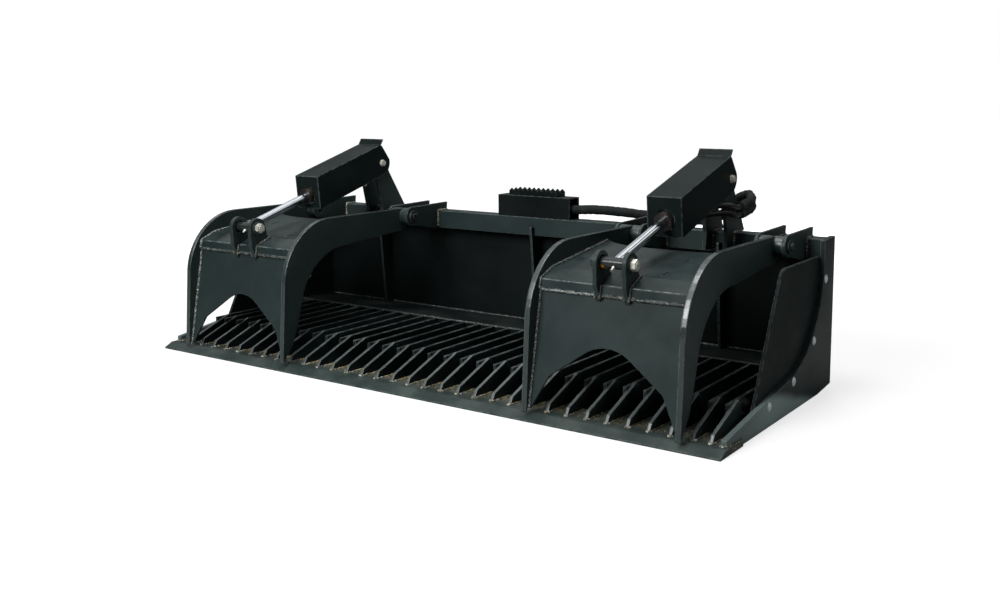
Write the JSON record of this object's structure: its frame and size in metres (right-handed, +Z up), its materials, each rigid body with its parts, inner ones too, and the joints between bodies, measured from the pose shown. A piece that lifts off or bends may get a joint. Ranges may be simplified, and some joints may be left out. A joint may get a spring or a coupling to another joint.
{
  "type": "rock grapple",
  "caption": "Rock bucket grapple for a compact loader: a skeleton bucket with upright tines and independent hydraulic jaws hinged on its top beam.",
  "frame": {"origin": "centre of the overall bounding box, on the ground", "axes": "+X to the grapple's right in the picture, +Y from the cutting edge to the loader, +Z up"},
  "size_m": [2.134, 0.89, 0.726],
  "materials": {
    "charcoal_paint": "satin",
    "bare_steel": "brushed",
    "chrome": "polished",
    "zinc": "zinc plated",
    "sleeve": "woven nylon sleeve",
    "hose_rubber": "smooth"
  },
  "bodies": {
    "bucket": {"cutting_edge": "charcoal_paint", "front_tines": "charcoal_paint", "grid_bars": "charcoal_paint", "floor_cross_bars": "charcoal_paint", "rear_floor_plate": "charcoal_paint", "heel_plate": "charcoal_paint", "back_wall": "charcoal_paint", "top_beam": "charcoal_paint", "back_ribs": "charcoal_paint", "side_plate_left": "charcoal_paint", "side_plate_right": "charcoal_paint", "side_panel_left": "charcoal_paint", "side_panel_right": "charcoal_paint", "panel_bolts": "zinc", "hinge_ears": "charcoal_paint", "hinge_pins": "bare_steel", "cylinder_towers": "charcoal_paint", "base_pins": "zinc", "attach_plate": "charcoal_paint", "attach_top_lip": "charcoal_paint", "attach_bottom_flange": "charcoal_paint", "attach_gussets": "charcoal_paint", "step_box": "charcoal_paint", "step_pad": "charcoal_paint", "hydraulic_block": "bare_steel", "hose_trunk": "sleeve", "hose_loop": "sleeve"},
    "left_jaw": {"left_outer_arm": "charcoal_paint", "left_inner_arm": "charcoal_paint", "left_face_plate": "charcoal_paint", "left_top_plate": "charcoal_paint", "left_stiffeners": "charcoal_paint", "left_hinge_bosses": "charcoal_paint", "left_rod_lugs": "charcoal_paint"},
    "left_cylinder": {"left_barrel": "charcoal_paint", "left_gland": "bare_steel", "left_base_eye": "charcoal_paint", "left_cover": "charcoal_paint", "left_port_fittings": "zinc"},
    "left_ram": {"left_rod": "chrome", "left_piston": "bare_steel", "left_rod_pin": "zinc"},
    "right_jaw": {"right_outer_arm": "charcoal_paint", "right_inner_arm": "charcoal_paint", "right_face_plate": "charcoal_paint", "right_top_plate": "charcoal_paint", "right_stiffeners": "charcoal_paint", "right_hinge_bosses": "charcoal_paint", "right_rod_lugs": "charcoal_paint"},
    "right_cylinder": {"right_barrel": "charcoal_paint", "right_gland": "bare_steel", "right_base_eye": "charcoal_paint", "right_cover": "charcoal_paint", "right_port_fittings": "zinc", "right_port_hoses": "hose_rubber"},
    "right_ram": {"right_rod": "chrome", "right_piston": "bare_steel", "right_rod_pin": "zinc"}
  },
  "joints": [
    {"name": "left_jaw_hinge", "type": "hinge", "parent": "bucket", "child": "left_jaw", "pos_m": [-0.713, 0.169, 0.454], "axis": [-1, 0, 0], "range_deg": [0, 50]},
    {"name": "left_cylinder_swing", "type": "hinge", "parent": "bucket", "child": "left_cylinder", "pos_m": [-0.708, 0.255, 0.636], "axis": [-1, 0, 0], "range_deg": [0, 43.1]},
    {"name": "left_rod_slide", "type": "slide", "parent": "left_cylinder", "child": "left_ram", "axis": [0, 0.9573, 0.2891], "range_m": [0, 0.1553]},
    {"name": "right_jaw_hinge", "type": "hinge", "parent": "bucket", "child": "right_jaw", "pos_m": [0.713, 0.169, 0.454], "axis": [-1, 0, 0], "range_deg": [0, 50]},
    {"name": "right_cylinder_swing", "type": "hinge", "parent": "bucket", "child": "right_cylinder", "pos_m": [0.718, 0.255, 0.636], "axis": [-1, 0, 0], "range_deg": [0, 43.1]},
    {"name": "right_rod_slide", "type": "slide", "parent": "right_cylinder", "child": "right_ram", "axis": [0, 0.9573, 0.2891], "range_m": [0, 0.1553]}
  ],
  "couplings": [
    {"joint": "left_cylinder_swing", "follows": "left_jaw_hinge", "ratio": 0.8614},
    {"joint": "left_rod_slide", "follows": "left_jaw_hinge", "m_per_rad": 0.17788},
    {"joint": "right_cylinder_swing", "follows": "right_jaw_hinge", "ratio": 0.8614},
    {"joint": "right_rod_slide", "follows": "right_jaw_hinge", "m_per_rad": 0.17788}
  ]
}
